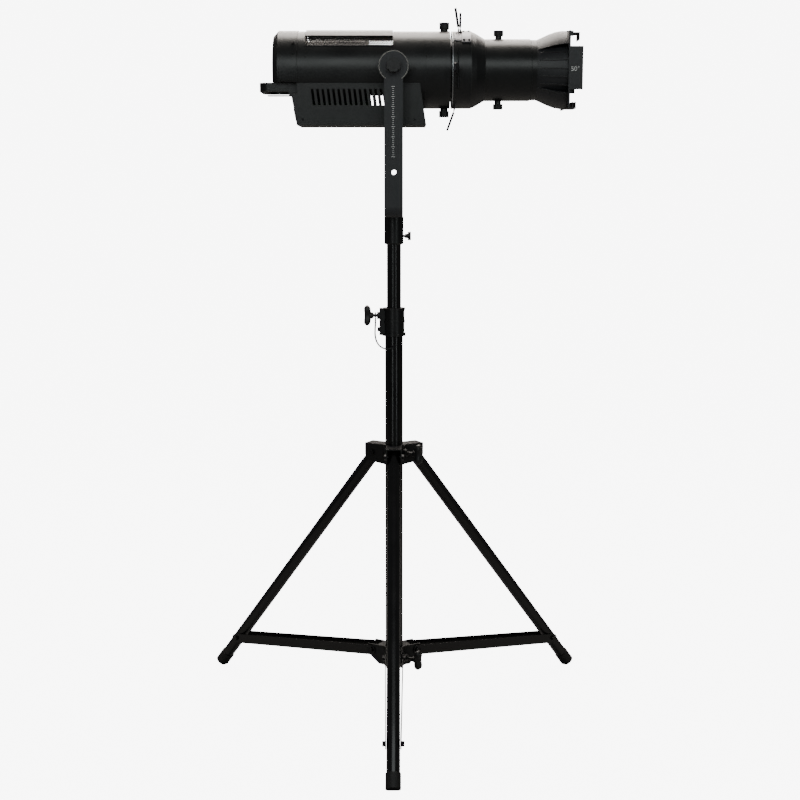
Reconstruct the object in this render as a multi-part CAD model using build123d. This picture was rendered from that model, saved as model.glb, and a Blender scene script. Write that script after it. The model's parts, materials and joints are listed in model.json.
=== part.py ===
from build123d import *
import os
from math import asin, atan2, cos, degrees, hypot, pi, radians, sin, sqrt, tan

# LED ellipsoidal spotlight on a yoke, standing on a folding tripod stand.
# Millimetres. The origin is on the floor under the column's axis. +X is the beam, +Z is up.

# ---- driving dimensions: stand ----
mast_r = 17.5
mast_wall = 1.8
mast_z0, mast_z1 = 470.0, 1212.0
column_r = 22.0
column_wall = 2.0
column_z0, column_z1 = 92.0, 985.0
running = 0.05
leg_r = 15.5
leg_wall = 1.6
leg_angle = 37.9
leg_reach = 816.0
leg_azimuths = {"front": -90.0, "right": 30.0, "left": 150.0}
hub_pivot = (54.0, 652.0)
collar_pivot = (57.0, 132.0)
spreader_bolt_at = 715.0
knob_azimuth = -30.0
pivot_bolt_r = 4.0
stem_r = 4.0

# ---- driving dimensions: yoke and lamp ----
lamp_z = 1595.0
yoke_width = 44.0
yoke_thick = 5.0
yoke_inside = 136.0
yoke_bottom = 1246.0
yoke_disc_r = 36.0
yoke_hole_z = 1352.0
yoke_hole_r = 6.5
body_r = 91.0
body_x0, body_x1 = -229.0, 134.5
rear_x = -287.0
vent_x0, vent_x1 = -210.0, -2.0
gate_x0, gate_x1 = 139.0, 184.0
barrel_r = 73.0
barrel_x1 = 327.0
lens_tube_r = 70.0
collar_x1 = 341.0
holder_x = 413.0
frame_half = 80.5
frame_x1 = 447.0
housing_half = 84.0
housing_z0, housing_z1 = 1462.0, 1560.0
shell_wall = 3.0


def box(x0, x1, y0, y1, z0, z1):
    """A block between two corners, given in either order."""
    centre = ((x0 + x1) / 2, (y0 + y1) / 2, (z0 + z1) / 2)
    return Pos(*centre) * Box(abs(x1 - x0), abs(y1 - y0), abs(z1 - z0))


def rod(start, end, radius):
    """A round bar from one point to another."""
    a = Vector(*start)
    b = Vector(*end)
    plane = Plane(origin=a, z_dir=(b - a))
    return extrude(plane * Circle(radius), amount=(b - a).length)


def pipe(start, end, outer, inner):
    """A round tube from one point to another."""
    a = Vector(*start)
    b = Vector(*end)
    plane = Plane(origin=a, z_dir=(b - a))
    return extrude(plane * (Circle(outer) - Circle(inner)), amount=(b - a).length)


def coaxial(x0, x1, outer, inner=0.0):
    """A ring or disc on the lamp's optical axis."""
    if inner:
        return pipe((x0, 0, lamp_z), (x1, 0, lamp_z), outer, inner)
    return rod((x0, 0, lamp_z), (x1, 0, lamp_z), outer)


def turned(points):
    """A solid turned about the optical axis, from (x, radius) points."""
    outline = Polyline(*[(x, 0, lamp_z + r) for x, r in points], close=True)
    axis = Axis((0, 0, lamp_z), (1, 0, 0))
    return revolve(make_face(outline), axis=axis, revolution_arc=360)


def slab(points, y0, y1):
    """A plate with an outline of (x, z) points, between two y planes."""
    face = make_face(Polyline(*[(x, y0, z) for x, z in points], close=True))
    return extrude(face, amount=y1 - y0, dir=(0, 1, 0))


def wedge(half_angle, x0, x1, reach=160.0):
    """A sector about the optical axis, centred on the top, for trimming shells."""
    side = reach * tan(radians(half_angle))
    points = [(x0, 0, lamp_z), (x0, -side, lamp_z + reach), (x0, side, lamp_z + reach)]
    return extrude(make_face(Polyline(*points, close=True)), amount=x1 - x0, dir=(1, 0, 0))


def at_azimuth(shape, azimuth):
    """Turn a shape drawn along +X to a direction about the column."""
    return Rot(0, 0, azimuth) * shape


def save(name, shape):
    """Write one sub-part to parts/NAME.step."""
    solids = shape.solids()
    model = solids[0] if len(solids) == 1 else Compound(children=list(solids))
    export_step(model, f"parts/{name}.step")


# ---- linkage points, in the plane of one leg: distance from the column, height ----
leg_dir = (sin(radians(leg_angle)), -cos(radians(leg_angle)))
leg_joint = (
    hub_pivot[0] + spreader_bolt_at * leg_dir[0],
    hub_pivot[1] + spreader_bolt_at * leg_dir[1],
)
spreader_run = (leg_joint[0] - collar_pivot[0], leg_joint[1] - collar_pivot[1])
spreader_len = hypot(*spreader_run)
spreader_slope = degrees(atan2(-spreader_run[1], spreader_run[0]))


def knob_body(length=51.0, depth=18.0, thick=24.0):
    """A T-handle drawn along +X from x = 0: waisted grip with rounded ends and a boss."""
    half = length / 2
    grip = box(0, depth, -thick / 2, thick / 2, -half, half)
    grip = fillet(grip.edges().filter_by(Axis.X), 10.0)
    grip = fillet(grip.faces().filter_by(Axis.X).edges(), 4.0)
    return grip + rod((-5, 0, 0), (2, 0, 0), 9.0)


def t_knob(azimuth, height, stem_start, grip_start):
    """A T-handle screw, pointing away from the column."""
    stem = rod((stem_start, 0, 0), (grip_start - 4, 0, 0), stem_r)
    shape = stem + Pos(grip_start, 0, 0) * knob_body()
    return Pos(0, 0, height) * at_azimuth(shape, azimuth)


def lobed_knob(radius, height, neck_r, neck, screw_r, screw, lobes=8):
    """A hand knob along +Z: screw below zero, neck, then a fluted head."""
    head = Circle(radius)
    for i in range(lobes):
        angle = 2 * pi * i / lobes
        place = Pos(radius * 1.12 * cos(angle), radius * 1.12 * sin(angle), 0)
        head -= place * Circle(radius * 0.24)
    shape = Pos(0, 0, neck) * extrude(head, amount=height)
    shape += rod((0, 0, 0), (0, 0, neck), neck_r)
    return shape + rod((0, 0, -screw), (0, 0, 0.1), screw_r)


# ---- stand ----
hub_z0, hub_z1 = 626.0, 676.0
hub_knob_z = 656.0
channel_in, channel_out = 16.5, 19.5


def hub_casting():
    """The upper bracket: a sleeve with three channels that hold the legs' tops."""
    shape = pipe((0, 0, hub_z0), (0, 0, hub_z1), 28.0, column_r + running)
    side = [(11, hub_z1), (74, hub_z1), (74, 646), (60, 631), (24, hub_z0), (11, hub_z0)]
    cheek = slab(side, channel_in, channel_out) + slab(side, -channel_out, -channel_in)
    roof = box(11, 74, -channel_out, channel_out, hub_z1 - 3, hub_z1)
    pin = (hub_pivot[0], -30, hub_pivot[1])
    hole = rod(pin, (pin[0], 30, pin[2]), pivot_bolt_r)
    for azimuth in leg_azimuths.values():
        shape += at_azimuth(cheek + roof - hole, azimuth)
    shape += Pos(0, 0, hub_knob_z) * at_azimuth(rod((26, 0, 0), (38, 0, 0), 10), knob_azimuth)
    hole = at_azimuth(rod((0, 0, 0), (60, 0, 0), stem_r + running), knob_azimuth)
    shape -= Pos(0, 0, hub_knob_z) * hole
    return shape - rod((0, 0, hub_z0 - 5), (0, 0, hub_z1 + 5), column_r + running)


def pivot_bolt(at, half_width):
    """A hex bolt and nut across a bracket, drawn for the leg along +X."""
    shank = rod((at[0], -half_width, at[1]), (at[0], half_width, at[1]), pivot_bolt_r)
    plane = Plane(origin=(at[0], half_width, at[1]), z_dir=(0, 1, 0))
    head = extrude(plane * RegularPolygon(7.5, 6), amount=5.0)
    return shank + head + mirror(head, about=Plane.XZ)


def hub_bolts():
    """The three bolts that the legs turn on."""
    bolt = pivot_bolt(hub_pivot, channel_out)
    return Compound(children=[at_azimuth(bolt, a) for a in leg_azimuths.values()])


foot_r = 17.5
foot_length = 29.0
foot_cap = 6.0
leg_top = 10.0


def along_leg(distance):
    """A point on the leg's axis, that far below its pivot."""
    return (hub_pivot[0] + distance * leg_dir[0], 0, hub_pivot[1] + distance * leg_dir[1])


def leg_tube():
    """One leg: a tube with a bush across it at the hub and a rivet for the spreader."""
    tube_end = leg_reach - foot_cap
    shape = pipe(along_leg(-leg_top), along_leg(tube_end), leg_r, leg_r - leg_wall)
    bush_r = pivot_bolt_r + running
    for distance, half in ((0.0, leg_r - 0.2), (spreader_bolt_at, leg_r)):
        at = along_leg(distance)
        shape += rod((at[0], -half, at[2]), (at[0], half, at[2]), bush_r + 2.5)
    at = along_leg(0)
    return shape - rod((at[0], -40, at[2]), (at[0], 40, at[2]), bush_r)


def foot():
    """A rubber foot: a cap over the leg's end with a flat sole on the floor."""
    tube_end = leg_reach - foot_cap
    shape = rod(along_leg(tube_end - foot_length), along_leg(leg_reach), foot_r)
    shape -= rod(along_leg(tube_end - foot_length - 1), along_leg(tube_end), leg_r)
    return shape - box(0, 900, -60, 60, -60, 0)


bar_thick, bar_height = 2.5, 25.0
bar_in_collar, bar_in_leg = 21.0, 16.0


def spreader():
    """A pair of flat bars, toed in towards the leg, with the bolt ends that sit on the leg."""
    half = bar_height / 2
    ends = bar_height * 0.5
    outline = SlotCenterToCenter(spreader_len, bar_height)
    flat = Plane.XZ * (Pos(spreader_len / 2, 0) * outline)
    length = spreader_len + 2 * ends
    bar = extrude(flat, amount=60, both=True)
    toe = (bar_in_collar - bar_in_leg) / spreader_len
    strip = Polyline(
        (-ends, bar_in_collar + toe * ends),
        (-ends + length, bar_in_collar - toe * (length - ends)),
        (-ends + length, bar_in_collar - toe * (length - ends) + bar_thick),
        (-ends, bar_in_collar + toe * ends + bar_thick),
        close=True,
    )
    band = extrude(make_face(strip), amount=half + 1, both=True)
    shape = bar & band
    shape -= rod((0, 0, 0), (0, 60, 0), pivot_bolt_r + running)
    nut = Plane(origin=(spreader_len, bar_in_leg + 1.0, 0), z_dir=(0, 1, 0))
    shape += extrude(nut * RegularPolygon(7.0, 6), amount=bar_thick + 5.5)
    pair = [shape, mirror(shape, about=Plane.XZ)]
    tilt = Rot(0, spreader_slope, 0)
    return [Pos(collar_pivot[0], 0, collar_pivot[1]) * tilt * piece for piece in pair]


collar_z0, collar_z1 = 98.0, 148.0
collar_knob_z = 120.0
ear_in, ear_out = 17.5, 20.5


def collar_casting():
    """The lower sliding bracket: a sleeve with three pairs of ears for the spreaders."""
    shape = pipe((0, 0, collar_z0), (0, 0, collar_z1), 28.0, column_r + running)
    side = [(11, collar_z1), (67, collar_z1), (67, 123), (34, collar_z0), (11, collar_z0)]
    ear = slab(side, ear_in, ear_out) + slab(side, -ear_out, -ear_in)
    web = box(11, 40, -ear_out, ear_out, collar_z1 - 3, collar_z1)
    start = (collar_pivot[0], -40, collar_pivot[1])
    pin = rod(start, (start[0], 40, start[2]), pivot_bolt_r)
    for azimuth in leg_azimuths.values():
        shape += at_azimuth(ear + web - pin, azimuth)
    shape += Pos(0, 0, collar_knob_z) * at_azimuth(rod((26, 0, 0), (38, 0, 0), 10), knob_azimuth)
    hole = at_azimuth(rod((0, 0, 0), (60, 0, 0), stem_r + running), knob_azimuth)
    shape -= Pos(0, 0, collar_knob_z) * hole
    return shape - rod((0, 0, collar_z0 - 5), (0, 0, collar_z1 + 5), column_r + running)


def collar_bolts():
    """The three bolts that the spreaders turn on."""
    bolt = pivot_bolt(collar_pivot, bar_in_collar + bar_thick + 0.6)
    return Compound(children=[at_azimuth(bolt, a) for a in leg_azimuths.values()])


clamp_z0, clamp_z1 = 951.0, 1020.0
mast_knob_z = 1001.0


def clamp_casting():
    """The casting on the column's top that grips the mast: sleeve, rims and a split ear."""
    shape = pipe((0, 0, clamp_z0), (0, 0, clamp_z1), 26.0, mast_r + running)
    for z0, z1, radius in ((clamp_z0, clamp_z0 + 7, 29.0), (clamp_z1 - 5, clamp_z1, 28.0)):
        shape += pipe((0, 0, z0), (0, 0, z1), radius, mast_r + running)
    shape += pipe((0, 0, 984), (0, 0, 990), 27.5, mast_r + running)
    ear = box(-36, -20, -13, 13, clamp_z0 + 2, clamp_z1 - 1)
    ear -= box(-37, -20, -1.5, 1.5, clamp_z0, clamp_z0 + 22)
    shape += ear + rod((-42, 0, mast_knob_z), (-34, 0, mast_knob_z), 9.0)
    shape -= rod((-60, 0, mast_knob_z), (0, 0, mast_knob_z), stem_r + running)
    shape -= rod((0, 0, clamp_z0 - 5), (0, 0, clamp_z1 + 5), mast_r + running)
    return shape - rod((0, 0, clamp_z0 - 5), (0, 0, column_z1), column_r)


rivet_z = 925.0


def clamp_fasteners():
    """The clamp's pinch screw, the lanyard's ring round the T-handle stem, and its rivet."""
    screw = rod((-41, 6, 966), (-36, 6, 966), 5.5)
    ring = Plane.YZ * (Circle(8.0) - Circle(5.0))
    ring = Pos(-47.5, 0, mast_knob_z) * extrude(ring, amount=3.0)
    rivet = rod((0, -column_r, rivet_z), (0, -column_r - 4, rivet_z), 4.5)
    return Compound(children=[screw, ring, rivet])


def mast_tube():
    """The sliding mast, with a guide bush at its foot."""
    shape = pipe((0, 0, mast_z0), (0, 0, mast_z1), mast_r, mast_r - mast_wall)
    inner = mast_r - mast_wall
    guide = column_r - column_wall - running
    return shape + pipe((0, 0, mast_z0), (0, 0, mast_z0 + 30), guide, inner)


lanyard_r = 1.5
lanyard_route = [
    (-46, 0, mast_knob_z - 8.0),
    (-46, -2, 980),
    (-47, -5, 966),
    (-47, -9, 951),
    (-43, -15, 936),
    (-34, -22, 925),
    (-21, -27, 920),
    (-9, -28.5, 921.5),
    (0, -27.5, 925),
]


def cord(route, radius):
    """A tube along straight runs joined by tangent arcs, as large as the runs allow."""
    points = [Vector(*p) for p in route]
    radii = []
    for before, here, after in zip(points, points[1:], points[2:]):
        turn = radians((here - before).get_angle(after - here))
        run = min((here - before).length, (after - here).length)
        radii.append(0.45 * run / tan(turn / 2))
    print("cord radii", [round(r, 1) for r in radii])
    path = FilletPolyline(*points, radius=radii)
    start = Plane(origin=points[0], z_dir=points[1] - points[0])
    tube = sweep(start * Circle(radius), path=path)
    print("cord volume ratio", tube.volume / (pi * radius**2 * path.length))
    return tube


# ---- adapter and yoke ----
adapter_r = 23.5
adapter_z0 = 1177.0
adapter_screw_z = 1197.0


def adapter_sleeve():
    """The socket that fits over the mast and carries the yoke."""
    shape = rod((0, 0, adapter_z0), (0, 0, yoke_bottom), adapter_r)
    shape = chamfer(shape.edges().filter_by(GeomType.CIRCLE), 2.5)
    shape -= rod((0, 0, adapter_z0 - 1), (0, 0, mast_z1 + running), mast_r + running)
    shape -= rod((0, 0, adapter_screw_z), (60, 0, adapter_screw_z), 3.0 + running)
    return shape - rod((0, 0, mast_z1 - 1), (0, 0, yoke_bottom + 1), 6.0)


def adapter_screw():
    """The adapter's knurled thumbscrew, pointing along +X."""
    shape = rod((mast_r + 0.3, 0, 0), (34, 0, 0), 3.0)
    shape += rod((27, 0, 0), (34, 0, 0), 5.5) + rod((34, 0, 0), (42, 0, 0), 10.5)
    return Pos(0, 0, adapter_screw_z) * shape


def yoke():
    """A flat bar bent into a U, with round ends that carry the tilt pivots."""
    outside = yoke_inside + yoke_thick
    outer = RectangleRounded(2 * outside, 800, 24)
    inner = RectangleRounded(2 * yoke_inside, 800 - 2 * yoke_thick, 24 - yoke_thick)
    bend = (outer - inner) & (Pos(0, -200) * Rectangle(400, 400))
    bend = Plane.YZ * (Pos(0, yoke_bottom + 400) * bend)
    shape = extrude(bend, amount=yoke_width / 2, both=True)
    shape &= box(-60, 60, -200, 200, yoke_bottom - 1, lamp_z - 10)
    for side in (-1, 1):
        near, far = side * yoke_inside, side * outside
        shape += box(-yoke_width / 2, yoke_width / 2, near, far, yoke_bottom + 60, lamp_z)
        shape += rod((0, near, lamp_z), (0, far, lamp_z), yoke_disc_r)
    for height, radius in ((lamp_z, 10.0 + running), (yoke_hole_z, yoke_hole_r)):
        shape -= rod((0, -200, height), (0, 200, height), radius)
    return shape - rod((0, 0, yoke_bottom - 5), (0, 0, yoke_bottom + 20), 6.0 + running)


def yoke_bolt():
    """The bolt that fastens the yoke to the adapter, with its washer."""
    top = yoke_bottom + yoke_thick
    washer = pipe((0, 0, top), (0, 0, top + 2.5), 14.0, 6.1)
    shank = rod((0, 0, mast_z1 + 4), (0, 0, top + 2.5), 5.95)
    plane = Plane(origin=(0, 0, top + 2.5), z_dir=(0, 0, 1))
    return Compound(children=[washer, shank + extrude(plane * RegularPolygon(10.5, 6), amount=8.0)])


tilt_disc_y1 = 135.5


def tilt_trunnions():
    """The two bosses on the body that carry the yoke's ends."""
    pieces = []
    for side in (-1, 1):
        boss = rod((0, side * 86, lamp_z), (0, side * tilt_disc_y1, lamp_z), 26.0)
        boss += rod((0, side * (tilt_disc_y1 - 8), lamp_z), (0, side * tilt_disc_y1, lamp_z), 33.0)
        boss += rod((0, side * 100, lamp_z), (0, side * 143, lamp_z), 10.0)
        boss -= rod((0, 0, lamp_z), (0, side * 160, lamp_z), stem_r + running)
        pieces.append(boss - coaxial(body_x0, body_x1, body_r))
    return Compound(children=pieces)


def tilt_knob(side):
    """A tilt lock knob, drawn on its own axis and turned to one side."""
    shape = lobed_knob(17.0, 20.0, 11.0, 4.0, stem_r, 40.0)
    return Pos(0, side * 143.3, lamp_z) * Rot(-90 * side, 0, 0) * shape


# ---- lamp body ----
def rear_cover():
    """The cast rear end cap, cut flat underneath, with the fan's guard and axle."""
    floor_z = housing_z1 + 2.0
    outside = [(rear_x, 0.0), (rear_x, 80.0), (rear_x + 12, 92.5), (body_x0, 92.5), (body_x0, 0.0)]
    inside = [(rear_x + 3.5, 0.0), (rear_x + 3.5, 79.0), (rear_x + 13, 89.5), (body_x0 + 1, 89.5)]
    inside += [(body_x0 + 1, 0.0)]
    shape = turned(outside) & box(rear_x - 5, body_x0, -120, 120, floor_z, lamp_z + 120)
    hollow = box(rear_x, body_x0 + 5, -120, 120, floor_z + shell_wall, lamp_z + 120)
    shape -= turned(inside) & hollow
    for radius in (21.0, 33.0, 45.0):
        shape -= Pos(0, 0, fan_lift) * coaxial(rear_x - 1, rear_x + 5, radius + 3.0, radius - 3.0)
    spoke = box(rear_x + 0.5, rear_x + 3.0, -50, 50, -3, 3)
    for angle in (0, 60, 120):
        shape += Pos(0, 0, lamp_z + fan_lift) * Rot(angle, 0, 0) * spoke
    return shape + Pos(0, 0, fan_lift) * coaxial(rear_x + 2, fan_x1, 3.0)


fan_x0, fan_x1 = -262.0, -244.0
fan_lift = 28.0
fan_r = 50.0


def fan_rotor():
    """A seven-blade axial fan rotor turning on the rear cover's axle."""
    shape = coaxial(fan_x0, fan_x1, 20.0)
    for i in range(7):
        blade = box(-8, 8, -0.9, 0.9, 18, fan_r)
        blade = Rot(0, 0, 32) * blade
        shape += Pos((fan_x0 + fan_x1) / 2, 0, lamp_z) * Rot(i * 360 / 7, 0, 0) * blade
    return Pos(0, 0, fan_lift) * (shape - coaxial(rear_x, body_x0, 3.0 + running))


def body_shell():
    """The round lamp body, open along the top for the vent grille."""
    shape = coaxial(body_x0, body_x1, body_r, body_r - shell_wall)
    shape += coaxial(body_x1 - 6, body_x1, body_r, 74.0)
    shape -= wedge(vent_half, vent_x0, vent_x1)
    rear_wall = coaxial(body_x0, body_x0 + 3, body_r - 1)
    shape += rear_wall & box(body_x0, body_x0 + 3, -100, 100, lamp_z - 100, housing_z1 + 2)
    shape -= mirror(wedge(window_half, window_x0, window_x1), about=Plane.XY.offset(lamp_z))
    for side in (-1, 1):
        shape -= rod((lock_x, 0, lamp_z), (lock_x, 0, lamp_z + side * 120), 4.0 + running)
        shape -= rod((0, 0, lamp_z), (0, side * 120, lamp_z), stem_r + running)
    return shape


vent_half = 55.0
window_half = 52.0
window_x0, window_x1 = -58.0, -16.0
crown_half = 36.0


def top_grille():
    """The curved vent grille with its raised crown strip."""
    mesh = coaxial(vent_x0 - 2, vent_x1 + 2, 87.8, 85.8)
    mesh &= wedge(vent_half + 2, vent_x0 - 2, vent_x1 + 2)
    crown = coaxial(vent_x0 + 0.5, vent_x1 - 0.5, 94.0, 90.0)
    crown &= wedge(crown_half, vent_x0, vent_x1)
    for x in (vent_x0 + 8, -106, vent_x1 - 8):
        for angle in (-28, 28):
            post = rod((x, 0, 86.5), (x, 0, 91.0), 3.0)
            crown += Pos(0, 0, lamp_z) * Rot(angle, 0, 0) * post
    return mesh + crown


sink_x0, sink_x1 = -205.0, -60.0


def heat_sink():
    """The LED's heat sink: a round plate, a block of fins and a collar for the condenser."""
    shape = coaxial(sink_x1 - 8, sink_x1, 87.9) - wedge(vent_half + 4, sink_x1 - 9, sink_x1 + 1)
    shape += coaxial(sink_x1 - 8, sink_x1, 85.0)
    shape += box(sink_x0, sink_x1 - 7, -22, 22, lamp_z - 22, lamp_z + 22)
    for i in range(-6, 7):
        z = lamp_z + i * 12
        fin = box(sink_x0, sink_x1 - 7, -84, 84, z - 1, z + 1)
        shape += fin & coaxial(sink_x0, sink_x1, 82.0)
    shape += coaxial(sink_x1 - 1, -8, 46.0, 42.0)
    for side in (-1, 1):
        shape -= rod((0, 0, lamp_z), (0, side * 120, lamp_z), 6.0)
    return shape


def led_board():
    """The LED board: a round plate with a square emitter."""
    emitter = box(sink_x1 + 3, sink_x1 + 5, -15, 15, lamp_z - 15, lamp_z + 15)
    return coaxial(sink_x1, sink_x1 + 3, 30.0) + emitter


def lens(x0, radius, thick, bulge):
    """A plano-convex lens with its flat face at x0."""
    ball_r = (radius**2 + bulge**2) / (2 * bulge)
    centre_x = x0 + thick + bulge - ball_r
    half_turn = asin(radius / ball_r) / 2
    rim = (x0 + thick, 0, lamp_z + radius)
    middle = (centre_x + ball_r * cos(half_turn), 0, lamp_z + ball_r * sin(half_turn))
    pole = (x0 + thick + bulge, 0, lamp_z)
    outline = Polyline(pole, (x0, 0, lamp_z), (x0, 0, lamp_z + radius), rim)
    outline += ThreePointArc(rim, middle, pole)
    axis = Axis((0, 0, lamp_z), (1, 0, 0))
    return revolve(make_face(outline), axis=axis, revolution_arc=360)


def lower_housing():
    """The electronics housing under the body: a thin tapered box with louvred sides."""
    outline = [(-243, 1534.5), (-230, housing_z0), (77.5, housing_z0), (62, housing_z1)]
    outline += [(-228.8, housing_z1), (-228.8, 1534.5)]
    inside = [(-240, 1532), (-228, housing_z0 + 2.5), (74.5, housing_z0 + 2.5), (59, 1570), (-225, 1570)]
    inside += [(-225, 1532)]
    shape = slab(outline, -housing_half, housing_half)
    shape -= slab(inside, -housing_half + 2.5, housing_half - 2.5)
    shape -= coaxial(-260, 90, body_r + 0.1)
    for i in range(15):
        x = -196.0 + i * 12.5
        slot = slab([(x, 1546), (x + 6, 1546), (x + 11, 1508), (x + 5, 1508)], -100, 100)
        shape -= slot
    for side, plug_r in socket_places:
        shape -= socket_at(side, rod((-12, 0, 0), (12, 0, 0), plug_r))
    fuse_hole = rod((-12, 0, fuse_rise), (12, 0, fuse_rise), 2.5 + running)
    return shape - socket_at(0, fuse_hole)


socket_places = ((-56.0, 13.0), (-20.0, 13.0), (20.0, 12.0), (56.0, 12.0))
rear_lean = 10.2
socket_z = 1487.0
fuse_rise = 13.0


def socket_at(y, shape):
    """Place a shape drawn along X on the housing's leaning rear face."""
    return Pos(-234.5, y, socket_z) * Rot(0, -rear_lean, 0) * shape


def rear_sockets():
    """Power in, power out, control in, control out, and the fuse cap above them."""
    pieces = []
    for y, radius in socket_places:
        body = rod((-1.5, 0, 0), (18, 0, 0), radius - 0.2) - rod((-1.6, 0, 0), (10, 0, 0), radius - 3.5)
        flange = pipe((-1.5, 0, 0), (-0.3, 0, 0), radius + 3.5, radius - 3.5)
        pin = rod((11, 0, 0), (7.5, 0, 0), 1.5)
        for angle in (90, 210, 330):
            offset = Pos(0, 4.5 * cos(radians(angle)), 4.5 * sin(radians(angle)))
            body += offset * pin
        pieces.append(socket_at(y, body + flange))
    fuse = rod((-6.0, 0, fuse_rise), (-0.3, 0, fuse_rise), 4.0)
    fuse += rod((-0.4, 0, fuse_rise), (9.0, 0, fuse_rise), 2.5)
    return Compound(children=pieces + [socket_at(0, fuse)])


def driver_board():
    """The LED driver: a circuit board with its transformer, capacitors and choke."""
    z0 = housing_z0 + 7.0
    shape = box(-205, 45, -70, 70, z0, z0 + 2)
    shape += box(-150, -110, -30, 25, z0 + 2, z0 + 34) + box(-40, -12, 10, 45, z0 + 2, z0 + 26)
    for x, y in ((-85, -40), (-60, -40), (-85, -10)):
        shape += rod((x, y, z0 + 2), (x, y, z0 + 30), 9.0)
    for x, y in ((-195, -60), (-195, 60), (35, -60), (35, 60)):
        shape += rod((x, y, housing_z0 + 2.5), (x, y, z0), 4.0)
    return shape


panel_x, panel_z = -68.0, 1485.0
panel_half_x, panel_half_z = 52.0, 18.0
panel_y = housing_half + 4.0
button_r = 4.0
button_travel = 1.5
button_proud = 2.5
button_places = {
    "menu": (-44.0, 1492.0),
    "up": (-30.0, 1492.0),
    "down": (-30.0, 1478.0),
    "enter": (-44.0, 1478.0),
}


def control_panel():
    """The control panel on the far side, with a display window and four button holes."""
    low_z, high_z = panel_z - panel_half_z, panel_z + panel_half_z
    shape = box(panel_x - panel_half_x, panel_x + panel_half_x, housing_half, panel_y, low_z, high_z)
    shape = fillet(shape.edges().filter_by(Axis.Y), 5.0)
    shape -= box(-114, -58, panel_y - 1.5, panel_y + 1, panel_z - 12, panel_z + 12)
    for x, z in button_places.values():
        shape -= rod((x, housing_half + 1.2, z), (x, panel_y + 1, z), button_r + running)
    return shape


def button(name):
    """One push button, proud of the panel, with room for its travel behind it."""
    x, z = button_places[name]
    return rod((x, housing_half + 1.3 + button_travel, z), (x, panel_y + button_proud, z), button_r)


handle_z0, handle_z1 = 1541.0, 1561.5


def rear_handle():
    """A U-shaped grab handle under the rear cover, with a thin lip below it."""
    loop = Pos(-276, 0) * RectangleRounded(88, 136, 22) - Pos(-268, 0) * RectangleRounded(66, 96, 14)
    shape = Pos(0, 0, handle_z0) * extrude(loop, amount=handle_z1 - handle_z0)
    shape = shape & box(-330, -244, -90, 90, handle_z0, handle_z1)
    shape += box(-246, body_x0 - 0.3, -68, 68, handle_z0 - 5, handle_z1)
    shape += box(-250, -243.6, -68, 68, handle_z0 - 7.5, handle_z1)
    return shape + box(-305, -243.6, -12, 12, handle_z0 - 7.5, handle_z0 - 5.5)


def cover_screws():
    """Socket screws through the rear cover's rim and along the lower housing."""
    pieces = []
    for angle in (-70, 70, -52, 52):
        screw = rod((-238, 0, 91.5), (-238, 0, 95.0), 3.0)
        screw = Pos(0, 0, lamp_z) * Rot(angle, 0, 0) * screw
        pieces.append(screw - coaxial(rear_x, body_x0, 92.5))
    for side in (-1, 1):
        for x in (-215.0, 50.0):
            start = (x, side * housing_half, 1475)
            pieces.append(rod(start, (x, side * (housing_half + 2), 1475), 3.0))
    return Compound(children=pieces)


lock_x = 121.5


def barrel_lock(side):
    """A knob through the body shell that grips the turning barrel's inner ring."""
    shape = lobed_knob(12.0, 15.0, 9.0, 5.0, 4.0, 16.5)
    return Pos(lock_x, 0, lamp_z + side * (body_r + 0.3)) * Rot(0 if side > 0 else 180, 0, 0) * shape


# ---- turning barrel with the gate and the shutters ----
blade_xs = {"bottom": 146.5, "far": 149.5, "near": 152.5, "top": 155.5}
blade_thick = 1.2
blade_angles = {"top": 4.0, "near": 92.0, "bottom": 178.0, "far": 268.0}
blade_lean = {"top": 9.0, "near": 12.0, "bottom": 20.0, "far": 12.0}
blade_channel = 1.8


def shutter_housing():
    """The gate ring: an inner spigot, a round housing, the gate plate and blade channels."""
    outline = [(gate_x0 - 20, 70.0), (gate_x0, 70.0), (gate_x0, 62.0), (gate_x1, 62.0)]
    outline += [(gate_x1, 91.0), (gate_x0 + 2, 91.0), (gate_x0, 89.0), (gate_x0, 73.5)]
    outline += [(gate_x0 - 20, 73.5)]
    shape = turned(outline)
    shape += coaxial(gate_x0 + 2, gate_x0 + 5, 66.0, 38.0)
    for name, x in blade_xs.items():
        slot = box(x - blade_channel / 2, x + blade_channel / 2, -46, 46, 20, 120)
        shape -= Pos(0, 0, lamp_z) * Rot(blade_angles[name], 0, 0) * slot
    tab_slot = box(gobo_x - 1.2, gobo_x + 1.2, -44, 44, 0, 120)
    return shape - Pos(0, 0, lamp_z) * tab_slot


gobo_x = 160.0


def shutter(name):
    """A framing shutter blade with its insulated handle, drawn pointing up, pushed in."""
    x = blade_xs[name]
    half = blade_thick / 2
    blade = box(x - half, x + half, -43, 43, 2.0, 96.0)
    tongue = box(-half, half, -9, 9, -1, 46)
    grip = box(-2.5, 2.5, -12, 12, 5, 50)
    grip = fillet(grip.edges().filter_by(Axis.X), 7.0)
    handle = Pos(x, 0, 96) * Rot(0, -blade_lean[name], 0) * (tongue + grip)
    return Pos(0, 0, lamp_z) * Rot(blade_angles[name], 0, 0) * (blade + handle)


def gobo_holder():
    """The pattern holder: a thin plate in the gate with a tab above the housing."""
    plate = box(gobo_x - 0.6, gobo_x + 0.6, -42, 42, -42, 92)
    plate -= rod((gobo_x - 5, 0, 0), (gobo_x + 5, 0, 0), 33.0)
    tab = box(gobo_x - 0.6, gobo_x + 0.6, -14, 14, 91, 132)
    grip = box(gobo_x - 2.0, gobo_x + 2.0, -15, 15, 101, 134)
    grip = fillet(grip.edges().filter_by(Axis.X), 6.0)
    return Pos(0, 0, lamp_z) * (plate + tab + grip)


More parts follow.
